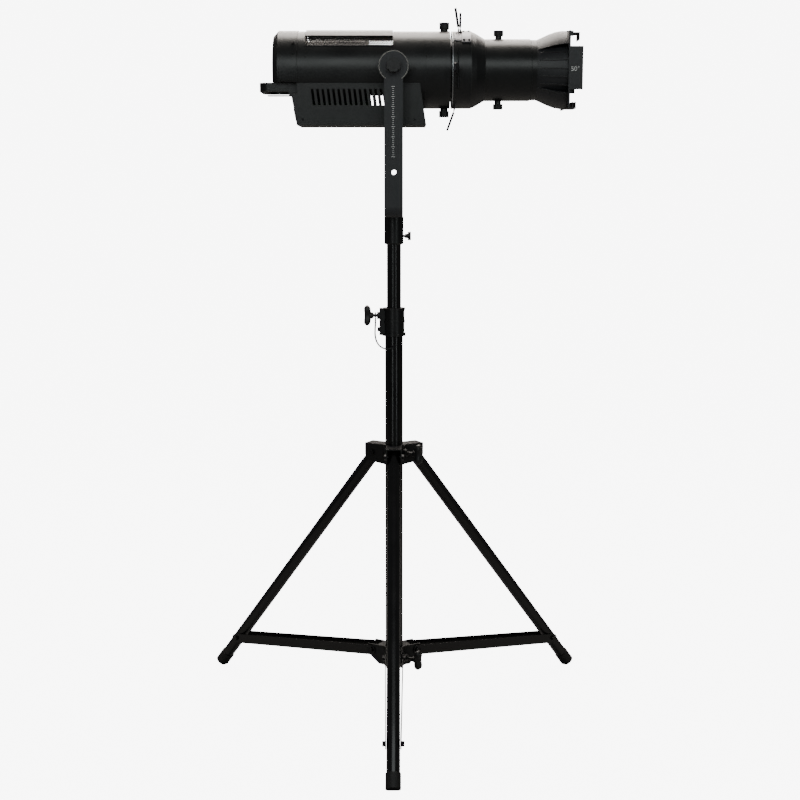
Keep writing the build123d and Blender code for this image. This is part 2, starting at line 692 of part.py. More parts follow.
def lens_barrel():
    """The lens barrel: a taper from the gate ring down to a plain tube."""
    outline = [(gate_x1, 62.0), (gate_x1, 91.0), (196, 86.0), (218, barrel_r), (barrel_x1, barrel_r)]
    outline += [(barrel_x1, lens_tube_r + running), (214, lens_tube_r + running), (196, 62.0)]
    shape = turned(outline)
    return shape - rod((focus_x, 0, lamp_z - 120), (focus_x, 0, lamp_z + 120), 3.0 + running)


focus_x = 252.0


def focus_knob(side):
    """A focus lock knob on the barrel."""
    shape = lobed_knob(11.7, 12.5, 7.8, 7.0, 3.0, 2.7)
    return Pos(focus_x, 0, lamp_z + side * (barrel_r + 0.3)) * Rot(0 if side > 0 else 180, 0, 0) * shape


# ---- sliding lens tube and accessory holder ----
def lens_tube():
    """The sliding lens tube, with a front collar that stops on the barrel."""
    shape = coaxial(232, collar_x1, lens_tube_r, 67.0)
    shape += coaxial(barrel_x1 + 2, collar_x1, 71.2, 67.0)
    for x in (246.0, 330.0):
        shape += coaxial(x - 3, x, 67.5, 62.0)
    return shape


def lenses():
    """The two plano-convex lenses."""
    return Compound(children=[lens(246.0, 67.0, 4.0, 13.0), lens(330.0, 67.0, 4.0, 15.0)])


ear_half = 52.0


def accessory_holder():
    """The front casting: ribbed cone, flared ears, and channels for a square colour frame."""
    cone = [(collar_x1, 66.0), (collar_x1, 70.5), (holder_x, 76.0), (holder_x, 71.0)]
    shape = turned(cone)
    for i in range(24):
        rib = box(collar_x1 + 6, holder_x, -1.5, 1.5, 68.5, 80.0)
        limit = turned([(collar_x1, 66.0), (collar_x1, 72.0), (holder_x, 80.0), (holder_x, 66.0)])
        if i in rib_places:
            shape += (Pos(0, 0, lamp_z) * Rot(i * 15, 0, 0) * rib) & limit
    ear = [(collar_x1 + 2, 68.0), (collar_x1 + 2, 71.0), (372, 84.0), (388, 89.5), (402, 92.0)]
    ear += [(holder_x + 4, 92.0), (holder_x + 4, 89.0), (402, 89.0), (389, 86.5), (373, 81.0)]
    ear += [(collar_x1 + 6, 68.0)]
    flare = turned(ear)
    shape += flare & wedge(ear_half, collar_x1, frame_x1)
    shape += mirror(flare & wedge(ear_half, collar_x1, frame_x1), about=Plane.XY.offset(lamp_z))
    outer = frame_half + 3.5
    back = box(holder_x, holder_x + 4, -outer, outer, lamp_z - 92, lamp_z + 86)
    shape += back - coaxial(holder_x - 1, holder_x + 5, 71.0)
    for side in (-1, 1):
        shape += box(holder_x, frame_x1, side * frame_half, side * outer, lamp_z - 50, lamp_z + 50)
        for x in (holder_x + 16, frame_x1 - 2.5):
            lip = side * (frame_half - 9)
            shape += box(x, x + 2.5, lip, side * outer, lamp_z - 50, lamp_z + 50)
    shape += box(holder_x, frame_x1 - 9, -32, 32, lamp_z - 92, lamp_z - 89)
    for x in (holder_x + 16, frame_x1 - 11.5):
        shape += box(x, x + 2.5, -32, 32, lamp_z - 92, lamp_z - 76)
    for side in (-1, 1):
        shape += box(holder_x, latch_x + 4, side * 26, side * 32, lamp_z + 78, latch_z + 4)
    return shape - rod((latch_x, -50, latch_z), (latch_x, 50, latch_z), 2.0 + running)


rib_places = (4, 5, 6, 7, 8, 16, 17, 18, 19, 20)
latch_x, latch_z = 425.0, 1681.0


def accessory_latch():
    """The sprung retaining clip that closes the top of the frame channels."""
    shape = rod((latch_x, -31, latch_z), (latch_x, 31, latch_z), 2.0)
    shape += rod((latch_x, -25.5, latch_z), (latch_x, 25.5, latch_z), 4.5)
    shape += box(latch_x, frame_x1 - 2, -25, 25, latch_z - 1.5, latch_z + 1.5)
    shape += box(frame_x1 - 4.5, frame_x1 - 2, -25, 25, latch_z - 16, latch_z + 1.5)
    return shape


def main():
    os.makedirs("parts", exist_ok=True)
    save("hub_casting", hub_casting())
    save("hub_bolts", hub_bolts())
    save("collar_casting", collar_casting())
    save("collar_bolts", collar_bolts())
    for name, azimuth in leg_azimuths.items():
        save(f"leg_tube_{name}", at_azimuth(leg_tube(), azimuth))
        save(f"foot_{name}", at_azimuth(foot(), azimuth))
        bars = [at_azimuth(bar, azimuth) for bar in spreader()]
        save(f"spreader_{name}", Compound(children=bars))
    save("column_tube", pipe((0, 0, column_z0), (0, 0, column_z1), column_r, column_r - column_wall))
    save("clamp_casting", clamp_casting())
    save("clamp_fasteners", clamp_fasteners())
    save("mast_tube", mast_tube())
    save("hub_knob", t_knob(knob_azimuth, hub_knob_z, column_r + 0.35, 62.0))
    save("collar_knob", t_knob(knob_azimuth, collar_knob_z, column_r + 0.35, 62.0))
    save("mast_knob", t_knob(180.0, mast_knob_z, mast_r + 0.35, 57.0))
    save("lanyard", cord(lanyard_route, lanyard_r))
    save("adapter_sleeve", adapter_sleeve())
    save("adapter_screw", adapter_screw())
    save("yoke", yoke())
    save("yoke_bolt", yoke_bolt())
    save("tilt_trunnions", tilt_trunnions())
    save("tilt_knob_near", tilt_knob(-1))
    save("tilt_knob_far", tilt_knob(1))
    save("rear_cover", rear_cover())
    save("fan_rotor", fan_rotor())
    save("body_shell", body_shell())
    save("top_grille", top_grille())
    save("heat_sink", heat_sink())
    save("led_board", led_board())
    save("condenser_lens", lens(-34.0, 41.9, 4.0, 12.0))
    save("lower_housing", lower_housing())
    save("rear_sockets", rear_sockets())
    save("driver_board", driver_board())
    save("control_panel", control_panel())
    for name in button_places:
        save(f"button_{name}", button(name))
    save("rear_handle", rear_handle())
    save("cover_screws", cover_screws())
    save("barrel_lock_top", barrel_lock(1))
    save("barrel_lock_bottom", barrel_lock(-1))
    save("shutter_housing", shutter_housing())
    for name in blade_xs:
        save(f"shutter_{name}", shutter(name))
    save("gobo_holder", gobo_holder())
    save("lens_barrel", lens_barrel())
    save("focus_knob_top", focus_knob(1))
    save("focus_knob_bottom", focus_knob(-1))
    save("lens_tube", lens_tube())
    save("lenses", lenses())
    save("accessory_holder", accessory_holder())
    save("accessory_latch", accessory_latch())


main()
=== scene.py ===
import json
from math import cos, pi, radians, sin, sqrt

import bmesh
import bpy
from mathutils import Matrix, Vector


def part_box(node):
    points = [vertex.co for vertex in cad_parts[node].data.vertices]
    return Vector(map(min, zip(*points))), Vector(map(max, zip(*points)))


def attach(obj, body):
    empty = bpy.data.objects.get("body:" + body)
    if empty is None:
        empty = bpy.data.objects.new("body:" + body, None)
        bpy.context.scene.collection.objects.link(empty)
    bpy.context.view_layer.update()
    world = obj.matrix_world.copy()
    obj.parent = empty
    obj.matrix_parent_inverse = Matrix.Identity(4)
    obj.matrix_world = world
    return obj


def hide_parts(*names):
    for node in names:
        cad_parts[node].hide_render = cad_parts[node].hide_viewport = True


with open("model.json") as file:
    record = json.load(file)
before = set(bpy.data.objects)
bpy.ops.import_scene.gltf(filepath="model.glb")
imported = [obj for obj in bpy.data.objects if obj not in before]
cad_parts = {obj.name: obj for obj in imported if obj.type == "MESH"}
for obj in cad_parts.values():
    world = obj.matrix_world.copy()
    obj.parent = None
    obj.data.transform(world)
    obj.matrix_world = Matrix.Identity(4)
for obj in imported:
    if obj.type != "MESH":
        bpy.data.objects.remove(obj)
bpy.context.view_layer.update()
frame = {"nodes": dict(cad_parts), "record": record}
nodes = frame["nodes"]

# ---- places, in metres, worked out from the frame ----
shell_low, shell_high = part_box("body_shell")
body_r = (shell_high[1] - shell_low[1]) / 2
axis_z = shell_high[2] - body_r
yoke_low, yoke_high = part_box("yoke")
yoke_disc_r = yoke_high[2] - axis_z
arm_face = -yoke_low[1]
MM = 0.001


# ---- camera ----
CAMERA_PLACE = (0.015, -3.446, 1.3368)
CAMERA_PITCH = 9.047
CAMERA_LENS = 62.6


def add_camera():
    data = bpy.data.cameras.new("photo_camera")
    data.lens = CAMERA_LENS
    data.sensor_width = 36.0
    data.clip_end = 200.0
    camera = bpy.data.objects.new("photo_camera", data)
    camera.location = CAMERA_PLACE
    camera.rotation_euler = (radians(90 - CAMERA_PITCH), 0, 0)
    bpy.context.scene.collection.objects.link(camera)
    bpy.context.scene.camera = camera


add_camera()


# ---- materials ----
CLOUD_SCALE = 14.0      # size of the mottling in every coat, per metre


def node_kit(name):
    """A new material with its node tree, shader and a helper that adds linked nodes."""
    material = bpy.data.materials.new(name)
    material.use_nodes = True
    tree = material.node_tree
    shader = tree.nodes["Principled BSDF"]

    def add(kind, inputs=(), **settings):
        node = tree.nodes.new(kind)
        for key, value in settings.items():
            setattr(node, key, value)
        for key, value in dict(inputs).items():
            if isinstance(value, bpy.types.NodeSocket):
                tree.links.new(value, node.inputs[key])
            else:
                node.inputs[key].default_value = value
        return node

    return material, tree, shader, add


def coated(name, dark, light, rough, metallic=0.0, grain=900.0, bump=0.12, wear=0.0, edge=0.0008, coat=0.0):
    """Paint, powder coat or moulded plastic: mottled colour, uneven gloss, fine grain, rounded edges."""
    material, tree, shader, add = node_kit(name)
    place = add("ShaderNodeTexCoord").outputs["Object"]
    clouds = add("ShaderNodeTexNoise", {"Vector": place, "Scale": CLOUD_SCALE, "Detail": 5.0})
    fine = add("ShaderNodeTexNoise", {"Vector": place, "Scale": grain, "Detail": 3.0})
    tint = add("ShaderNodeValToRGB", {"Fac": clouds.outputs["Fac"]})
    tint.color_ramp.elements[0].position = 0.35
    tint.color_ramp.elements[1].position = 0.7
    tint.color_ramp.elements[0].color = (*dark, 1)
    tint.color_ramp.elements[1].color = (*light, 1)
    soft_edge = add("ShaderNodeBevel", {"Radius": edge}, samples=4)
    bump_node = add(
        "ShaderNodeBump",
        {"Strength": bump, "Distance": 0.0004, "Height": fine.outputs["Fac"], "Normal": soft_edge.outputs[0]},
    )
    gloss = add(
        "ShaderNodeMapRange",
        {"Value": clouds.outputs["Fac"], "From Min": 0.3, "From Max": 0.7, "To Min": rough - 0.05,
         "To Max": rough + 0.06},
    )
    colour = tint.outputs["Color"]
    if wear:
        flat = add("ShaderNodeNewGeometry").outputs["Normal"]
        turn = add("ShaderNodeVectorMath", {0: soft_edge.outputs[0], 1: flat}, operation="DOT_PRODUCT")
        rub = add(
            "ShaderNodeMapRange",
            {"Value": turn.outputs["Value"], "From Min": 0.97, "From Max": 0.8, "To Min": 0.0, "To Max": 1.0},
        )
        patch = add("ShaderNodeMath", {0: rub.outputs["Result"], 1: fine.outputs["Fac"]},
                    operation="MULTIPLY")
        mix = add("ShaderNodeMix", {"Factor": patch.outputs[0]}, data_type="RGBA")
        tree.links.new(colour, mix.inputs[6])
        mix.inputs[7].default_value = (wear, wear, wear, 1)
        colour = mix.outputs[2]
    tree.links.new(colour, shader.inputs["Base Color"])
    tree.links.new(gloss.outputs["Result"], shader.inputs["Roughness"])
    tree.links.new(bump_node.outputs["Normal"], shader.inputs["Normal"])
    shader.inputs["Metallic"].default_value = metallic
    shader.inputs["Specular IOR Level"].default_value = 0.5
    shader.inputs["Coat Weight"].default_value = coat
    return material


def brushed(name, colour, rough, stretch=(4.0, 4.0, 300.0)):
    """Bare metal with fine brush lines along one direction."""
    material, tree, shader, add = node_kit(name)
    place = add("ShaderNodeTexCoord").outputs["Object"]
    scaled = add("ShaderNodeMapping", {"Vector": place, "Scale": stretch})
    lines = add("ShaderNodeTexNoise", {"Vector": scaled.outputs[0], "Scale": 9.0, "Detail": 6.0})
    gloss = add(
        "ShaderNodeMapRange",
        {"Value": lines.outputs["Fac"], "To Min": rough - 0.1, "To Max": rough + 0.12},
    )
    soft_edge = add("ShaderNodeBevel", {"Radius": 0.0004}, samples=4)
    bump_node = add(
        "ShaderNodeBump",
        {"Strength": 0.15, "Distance": 0.0002, "Height": lines.outputs["Fac"],
         "Normal": soft_edge.outputs[0]},
    )
    tint = add("ShaderNodeValToRGB", {"Fac": lines.outputs["Fac"]})
    tint.color_ramp.elements[0].color = (*[c * 0.75 for c in colour], 1)
    tint.color_ramp.elements[1].color = (*colour, 1)
    tree.links.new(tint.outputs["Color"], shader.inputs["Base Color"])
    tree.links.new(gloss.outputs["Result"], shader.inputs["Roughness"])
    tree.links.new(bump_node.outputs["Normal"], shader.inputs["Normal"])
    shader.inputs["Metallic"].default_value = 1.0
    return material


def glass(name):
    """Coated optical glass, with a trace of dust in its gloss."""
    material, tree, shader, add = node_kit(name)
    place = add("ShaderNodeTexCoord").outputs["Object"]
    dust = add("ShaderNodeTexNoise", {"Vector": place, "Scale": 120.0, "Detail": 6.0})
    gloss = add(
        "ShaderNodeMapRange",
        {"Value": dust.outputs["Fac"], "From Min": 0.5, "From Max": 0.8, "To Min": 0.01, "To Max": 0.08},
    )
    tree.links.new(gloss.outputs["Result"], shader.inputs["Roughness"])
    shader.inputs["Base Color"].default_value = (0.9, 0.95, 1.0, 1)
    shader.inputs["Transmission Weight"].default_value = 1.0
    shader.inputs["IOR"].default_value = 1.5
    shader.inputs["Coat Weight"].default_value = 0.6
    shader.inputs["Coat Tint"].default_value = (0.75, 0.7, 1.0, 1)
    return material


def braid(name):
    """A braided cord: small crossing strands."""
    material, tree, shader, add = node_kit(name)
    place = add("ShaderNodeTexCoord").outputs["Object"]
    weave = add("ShaderNodeTexWave", {"Vector": place, "Scale": 260.0, "Distortion": 1.5},
                bands_direction="DIAGONAL")
    tint = add("ShaderNodeValToRGB", {"Fac": weave.outputs["Fac"]})
    tint.color_ramp.elements[0].color = (0.006, 0.006, 0.006, 1)
    tint.color_ramp.elements[1].color = (0.03, 0.03, 0.032, 1)
    bump_node = add("ShaderNodeBump", {"Strength": 0.5, "Distance": 0.0003, "Height": weave.outputs["Fac"]})
    tree.links.new(tint.outputs["Color"], shader.inputs["Base Color"])
    tree.links.new(bump_node.outputs["Normal"], shader.inputs["Normal"])
    shader.inputs["Roughness"].default_value = 0.75
    return material


def circuit(name):
    """A circuit board: green mask with darker tracks."""
    material, tree, shader, add = node_kit(name)
    place = add("ShaderNodeTexCoord").outputs["Object"]
    tracks = add("ShaderNodeTexVoronoi", {"Vector": place, "Scale": 220.0}, distance="MANHATTAN")
    tint = add("ShaderNodeValToRGB", {"Fac": tracks.outputs["Distance"]})
    tint.color_ramp.elements[0].color = (0.01, 0.10, 0.035, 1)
    tint.color_ramp.elements[1].color = (0.03, 0.2, 0.08, 1)
    tree.links.new(tint.outputs["Color"], shader.inputs["Base Color"])
    shader.inputs["Roughness"].default_value = 0.4
    return material


def printed(name, colour):
    """Screen-printed ink: slightly uneven, matte."""
    material, tree, shader, add = node_kit(name)
    place = add("ShaderNodeTexCoord").outputs["Object"]
    speck = add("ShaderNodeTexNoise", {"Vector": place, "Scale": 700.0, "Detail": 3.0})
    tint = add("ShaderNodeValToRGB", {"Fac": speck.outputs["Fac"]})
    tint.color_ramp.elements[0].color = (*[c * 0.8 for c in colour], 1)
    tint.color_ramp.elements[1].color = (*colour, 1)
    tree.links.new(tint.outputs["Color"], shader.inputs["Base Color"])
    shader.inputs["Roughness"].default_value = 0.6
    return material


looks = {
    "stand_tube": coated("stand_tube_paint", (0.0015, 0.0015, 0.0018), (0.003, 0.003, 0.0034), 0.22,
                         grain=500, bump=0.06, wear=0.02, coat=0.2),
    "stand_casting": coated("stand_casting_paint", (0.003, 0.003, 0.0034), (0.007, 0.007, 0.0076), 0.36,
                            grain=700, bump=0.2, wear=0.06),
    "fastener": coated("black_oxide_steel", (0.02, 0.02, 0.021), (0.05, 0.05, 0.052), 0.35, metallic=0.9,
                       grain=1500, bump=0.1, wear=0.3, edge=0.0004),
    "rubber_foot": coated("foot_rubber", (0.005, 0.005, 0.005), (0.012, 0.012, 0.012), 0.62, grain=1200,
                          bump=0.35, edge=0.0015),
    "knob": coated("knob_plastic", (0.008, 0.008, 0.008), (0.018, 0.018, 0.018), 0.45, grain=1400, bump=0.3,
                   edge=0.0008),
    "yoke_coat": coated("yoke_powder_coat", (0.024, 0.025, 0.028), (0.036, 0.037, 0.041), 0.5, grain=1100,
                        bump=0.3, wear=0.12),
    "lamp_coat": coated("lamp_powder_coat", (0.007, 0.0075, 0.0075), (0.012, 0.0125, 0.0125), 0.34,
                        grain=1300, bump=0.14, wear=0.12),
    "housing_coat": coated("housing_powder_coat", (0.008, 0.0085, 0.0085), (0.014, 0.0145, 0.0145), 0.4,
                           grain=1300, bump=0.16, wear=0.12),
    "holder_coat": coated("holder_powder_coat", (0.014, 0.0145, 0.0165), (0.024, 0.025, 0.028), 0.42,
                          grain=1200, bump=0.2, wear=0.14),
    "heat_sink_metal": brushed("heat_sink_aluminium", (0.55, 0.56, 0.57), 0.4),
    "led": coated("led_board_white", (0.6, 0.58, 0.4), (0.8, 0.78, 0.6), 0.5, grain=900, bump=0.05),
    "circuit_board": circuit("circuit_board_green"),
    "lens_glass": glass("lens_glass"),
    "blade_steel": coated("shutter_black_steel", (0.015, 0.015, 0.016), (0.035, 0.035, 0.037), 0.34,
                          metallic=0.8, grain=900, bump=0.1, wear=0.35, edge=0.0004),
    "panel_plastic": coated("panel_plastic", (0.008, 0.008, 0.009), (0.018, 0.018, 0.019), 0.5, grain=1500,
                            bump=0.25),
    "button_rubber": coated("button_rubber", (0.05, 0.05, 0.05), (0.08, 0.08, 0.08), 0.7, grain=1200,
                            bump=0.2),
    "lanyard_cord": braid("lanyard_braid"),
}
# Bare aluminium for the gate's edge ring; its brightness also stands in for the highlight along the gate gap.
bare_metal_and_highlight = brushed("bare_aluminium_and_painted_highlight", (0.42, 0.43, 0.44), 0.35)
cover_metal = brushed("grey_aluminium", (0.24, 0.24, 0.25), 0.4)
white_ink = printed("white_ink", (0.9, 0.9, 0.88))
scale_ink = printed("scale_ink", (0.85, 0.82, 0.72))
# Vent mesh: grey metal, lighter and warmer than the body; the light warm tone is also a painted sheen from
# the overhead light.
mesh_paint_and_sheen = coated("vent_mesh_grey_and_painted_sheen", (0.10, 0.095, 0.09), (0.17, 0.16, 0.15), 0.38, metallic=0.7,
                    grain=800)


def dress_cad_nodes():
    """Give every CAD node the finish of its material slot."""
    for entry in frame["record"]["subparts"]:
        mesh = nodes[entry["node"]].data
        mesh.materials.clear()
        mesh.materials.append(looks[entry["material_slot"]])


dress_cad_nodes()


# ---- making pieces ----
def piece(name, build, material, body):
    """A new mesh piece: build fills a bmesh, then it rides on a body."""
    mesh = bpy.data.meshes.new(name)
    form = bmesh.new()
    build(form)
    bmesh.ops.recalc_face_normals(form, faces=form.faces)
    form.to_mesh(mesh)
    form.free()
    mesh.materials.append(material)
    obj = bpy.data.objects.new(name, mesh)
    bpy.context.scene.collection.objects.link(obj)
    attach(obj, body)
    return obj


def bevelled(obj, width):
    """Round a piece's edges with a modifier."""
    modifier = obj.modifiers.new("rounded", "BEVEL")
    modifier.width = width
    modifier.segments = 2
    modifier.limit_method = "ANGLE"
    for face in obj.data.polygons:
        face.use_smooth = True
    smooth = obj.modifiers.new("weighted", "WEIGHTED_NORMAL")
    smooth.keep_sharp = True
    return obj


def block(form, low, high):
    """A box between two corners."""
    made = bmesh.ops.create_cube(form, size=1.0)["verts"]
    middle = [(a + b) / 2 for a, b in zip(low, high)]
    size = [b - a for a, b in zip(low, high)]
    bmesh.ops.transform(form, matrix=Matrix.Translation(middle) @ Matrix.Diagonal((*size, 1)), verts=made)
    return made


def disc(form, start, end, radius, sides=32, top=None):
    """A round bar or frustum from one point to another."""
    a, b = Vector(start), Vector(end)
    made = bmesh.ops.create_cone(
        form, cap_ends=True, segments=sides, radius1=radius, radius2=radius if top is None else top,
        depth=(b - a).length,
    )["verts"]
    turn = (b - a).to_track_quat("Z", "Y").to_matrix().to_4x4()
    bmesh.ops.transform(form, matrix=Matrix.Translation((a + b) / 2) @ turn, verts=made)
    return made


# ---- safety lanyard ----
# The cord's control points, in millimetres.
lanyard_route = [
    (-46, 0, 993),
    (-46, -2, 980),
    (-47, -5, 966),
    (-47, -9, 951),
    (-43, -15, 936),
    (-34, -22, 925),
    (-21, -27, 920),
    (-9, -28.5, 921.5),
    (0, -27.5, 925),
]


def add_lanyard():
    curve = bpy.data.curves.new("lanyard_cord", "CURVE")
    curve.dimensions = "3D"
    spline = curve.splines.new("NURBS")
    spline.points.add(len(lanyard_route) - 1)
    for point, place in zip(spline.points, lanyard_route):
        point.co = (*[value * MM for value in place], 1)
    spline.order_u = 3
    spline.use_endpoint_u = True
    spline.resolution_u = 8
    curve.bevel_depth = 2.0 * MM
    curve.bevel_resolution = 6
    curve.use_fill_caps = True
    curve.materials.append(looks["lanyard_cord"])
    cord = bpy.data.objects.new("lanyard_braided", curve)
    bpy.context.scene.collection.objects.link(cord)
    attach(cord, "column")
    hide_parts("lanyard")


add_lanyard()


# ---- vent grille on top of the body ----
VENT_X = (-210 * MM, -2 * MM)
VENT_HALF = 55.0        # degrees from the top to the opening's edge
CROWN_HALF = 36.0       # degrees from the top to the crown's edge


def on_lamp(x, angle, radius):
    """A point about the optical axis; angle in degrees from the top, positive towards the camera."""
    return Vector((x, -radius * sin(radians(angle)), axis_z + radius * cos(radians(angle))))


def bent_sheet(form, quads, radius, thick):
    """Thick curved faces from lists of (x, angle) corners, sharing vertices, open edges closed."""
    made = {}

    def vertex(place, level):
        key = (round(place[0], 6), round(place[1], 4), level)
        if key not in made:
            made[key] = form.verts.new(on_lamp(place[0], place[1], radius - level * thick))
        return made[key]

    sides = {}
    for corners in quads:
        form.faces.new([vertex(c, 0) for c in corners])
        form.faces.new([vertex(c, 1) for c in reversed(corners)])
        for a, b in zip(corners, corners[1:] + corners[:1]):
            key_a, key_b = vertex(a, 0), vertex(b, 0)
            if (key_b, key_a) in sides:
                del sides[(key_b, key_a)]
            else:
                sides[(key_a, key_b)] = (a, b)
    for a, b in sides.values():
        form.faces.new([vertex(b, 0), vertex(a, 0), vertex(a, 1), vertex(b, 1)])


def perforated(x0, x1, angle0, angle1, radius, pitch, hole):
    """Corner lists of a sheet with staggered six-sided holes."""
    cell = pitch / sqrt(3)
    rise = cell * 1.5
    scale = 180 / (pi * radius)
    rows = int((angle1 - angle0) / (rise * scale))
    columns = int((x1 - x0) / pitch)
    quads = []
    for row in range(rows + 1):
        for column in range(columns + 1):
            cx = x0 + (column + 0.5 * (row % 2)) * pitch
            ca = angle0 + row * rise * scale
            outer = []
            inner = []
            for k in range(6):
                turn = radians(60 * k + 30)
                outer.append((cx + cell * cos(turn), ca + cell * sin(turn) * scale))
                inner.append((cx + hole * cos(turn), ca + hole * sin(turn) * scale))
            for k in range(6):
                n = (k + 1) % 6
                quads.append([outer[k], outer[n], inner[n], inner[k]])
    return quads


def strip(x0, x1, angle0, angle1, step=2.0):
    """Corner lists of a plain curved strip."""
    count = max(1, round(abs(angle1 - angle0) / step))
    angles = [angle0 + (angle1 - angle0) * k / count for k in range(count + 1)]
    return [[(x0, a), (x1, a), (x1, b), (x0, b)] for a, b in zip(angles, angles[1:])]


def vent_rim(form, side):
    """The lip round one side's opening, with rounded corners."""
    x0, x1 = VENT_X
    low, high = CROWN_HALF, VENT_HALF
    scale = 180 / (pi * body_r)
    inner_edge = []
    corner = 11 * MM
    small_corner = 4 * MM
    lip = 1.6 * MM
    for index, (cx, ca, start) in enumerate((
        (x1 - small_corner, high - small_corner * scale, 0), (x0 + corner, high - corner * scale, 90),
    )):
        size = small_corner if index == 0 else corner
        for k in range(9):
            turn = radians(start + 90 * k / 8)
            inner_edge.append((cx + size * cos(turn), (ca + size * sin(turn) * scale)))
    inner_path = [(x1, low)] + inner_edge + [(x0, low)]
    quads = []
    middle_x = (x0 + x1) / 2

    def spread(place, by):
        x, a = place
        near_end = x < x0 + corner or x > x1 - small_corner - 1e-6
        reach = x0 - by if x < middle_x else x1 + by
        if near_end:
            far = max(0.0, (a - (high - corner * scale)) / (corner * scale))
            return (reach, a + (high + by * scale - a) * min(1.0, far))
        return (x, high + by * scale)

    for a, b in zip(inner_path, inner_path[1:]):
        quads.append([a, b, spread(b, lip), spread(a, lip)])
    turned = [[(x, a * side) for x, a in quad] for quad in quads]
    if side < 0:
        turned = [list(reversed(quad)) for quad in turned]
    bent_sheet(form, turned, body_r + 0.7 * MM, lip)


def add_vent():
    x0, x1 = VENT_X
    made = []
    mesh_radius = 87.6 * MM
    for name, low in (("near", 33.0), ("far", -58.0)):
        quads = perforated(x0, x1, low, low + 25, mesh_radius, 6.2 * MM, 2.5 * MM)
        made.append(piece("vent_mesh_" + name, lambda form: bent_sheet(form, quads, mesh_radius, 1.0 * MM),
                          mesh_paint_and_sheen, "lamp"))
    crown = piece("vent_crown", lambda form: bent_sheet(
        form, strip(x0 + 0.5 * MM, x1 - 0.5 * MM, -CROWN_HALF, CROWN_HALF), 94 * MM, 3.4 * MM),
        looks["lamp_coat"], "lamp")
    made.append(bevelled(crown, 0.8 * MM))
    for name, side in (("near", 1), ("far", -1)):
        rim = piece("vent_rim_" + name, lambda form: vent_rim(form, side), looks["lamp_coat"], "lamp")
        made.append(bevelled(rim, 0.4 * MM))

    def posts(form):
        for x in (x0 + 8 * MM, -106 * MM, x1 - 8 * MM):
            for angle in (-30, 30):
                disc(form, on_lamp(x, angle, 86.4 * MM), on_lamp(x, angle, 91 * MM), 3 * MM, 16)

    made.append(piece("vent_posts", posts, looks["housing_coat"], "lamp"))
    for part in made:
        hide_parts("top_grille")


add_vent()


# ---- printed marks on the yoke ----
INK = 0.12 * MM         # how far a printed mark stands off its face
BAR_WIDTH = 1.3 * MM
ARM_SCALE_TOP, ARM_SCALE_END = 1.548, 1.384


def flat_bar(form, centre, length, width, turn, y, lift):
    """A thin printed bar on a face square to Y, turned by an angle from upright."""
    c, s = cos(turn), sin(turn)
    hu, hv = width / 2, length / 2
    corners = []
    for u, v in ((-hu, -hv), (hu, -hv), (hu, hv), (-hu, hv)):
        corners.append((centre[0] + u * c + v * s, centre[1] - u * s + v * c))
    front = [form.verts.new((x, y - lift, z)) for x, z in corners]
    back = [form.verts.new((x, y, z)) for x, z in corners]
    form.faces.new(front)
    form.faces.new(list(reversed(back)))
    for k in range(4):
        n = (k + 1) % 4
        form.faces.new([front[n], front[k], back[k], back[n]])


def add_yoke_marks():
    radius = yoke_disc_r - 2.0 * MM

    def tilt_scale(form, side):
        for angle in range(-145, 146, 5):
            turn = radians(angle)
            centre = (radius * sin(turn), axis_z + radius * cos(turn))
            flat_bar(form, centre, 1.6 * MM, BAR_WIDTH, turn, side * arm_face, side * -INK)

    for name, side in (("near", -1), ("far", 1)):
        piece("tilt_scale_" + name, lambda form: tilt_scale(form, side), scale_ink, "head")

    def arm_scale(form):
        z = ARM_SCALE_TOP
        step = 0
        while z > ARM_SCALE_END:
            wide = (8.0 if step % 5 == 0 else 4.0) * MM
            flat_bar(form, (-0.001, z), BAR_WIDTH, wide, 0.0, -arm_face, INK)
            z -= 4.6 * MM
            step += 1

    piece("arm_scale", arm_scale, white_ink, "head")


add_yoke_marks()


def add_number(name, text, size, place, body):
    """Raised ink figures on the near side, facing the camera side."""
    curve = bpy.data.curves.new(name, "FONT")
    curve.body = text
    curve.size = size
    curve.extrude = 0.1 * MM
    curve.align_x = "CENTER"
    curve.align_y = "CENTER"
    source = bpy.data.objects.new(name + "_source", curve)
    bpy.context.scene.collection.objects.link(source)
    bpy.context.view_layer.update()
    mesh = bpy.data.meshes.new_from_object(source.evaluated_get(bpy.context.evaluated_depsgraph_get()))
    bpy.data.objects.remove(source)
    mesh.transform(Matrix.Translation(place) @ Matrix.Rotation(radians(90), 4, "X"))
    mesh.materials.clear()
    mesh.materials.append(white_ink)
    number = bpy.data.objects.new(name, mesh)
    bpy.context.scene.collection.objects.link(number)
    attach(number, body)


holder_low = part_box("accessory_holder")[0]
number_place = (0.4285, holder_low[1] - 0.05 * MM, axis_z - 3 * MM)
add_number("beam_angle", "50\u00b0", 15 * MM, number_place, "lens_tube")


# ---- gate: bright bare-metal edge ring that also paints the edge highlight at the gap, slot cover with its screws ----
def ring(form, x0, x1, outer, inner, start=0.0, end=360.0, step=5.0):
    """A ring about the optical axis, or part of one, as a closed solid."""
    closed = end - start >= 360.0
    count = round((end - start) / step)
    angles = [start + (end - start) * k / count for k in range(count + (0 if closed else 1))]
    section = ((x0, outer), (x1, outer), (x1, inner), (x0, inner))
    loops = []
    for angle in angles:
        loops.append([form.verts.new(on_lamp(x, angle, r)) for x, r in section])
    pairs = list(zip(loops, loops[1:]))
    if closed:
        pairs.append((loops[-1], loops[0]))
    else:
        form.faces.new(loops[0])
        form.faces.new(list(reversed(loops[-1])))
    for a, b in pairs:
        for k in range(4):
            n = (k + 1) % 4
            form.faces.new([a[n], a[k], b[k], b[n]])


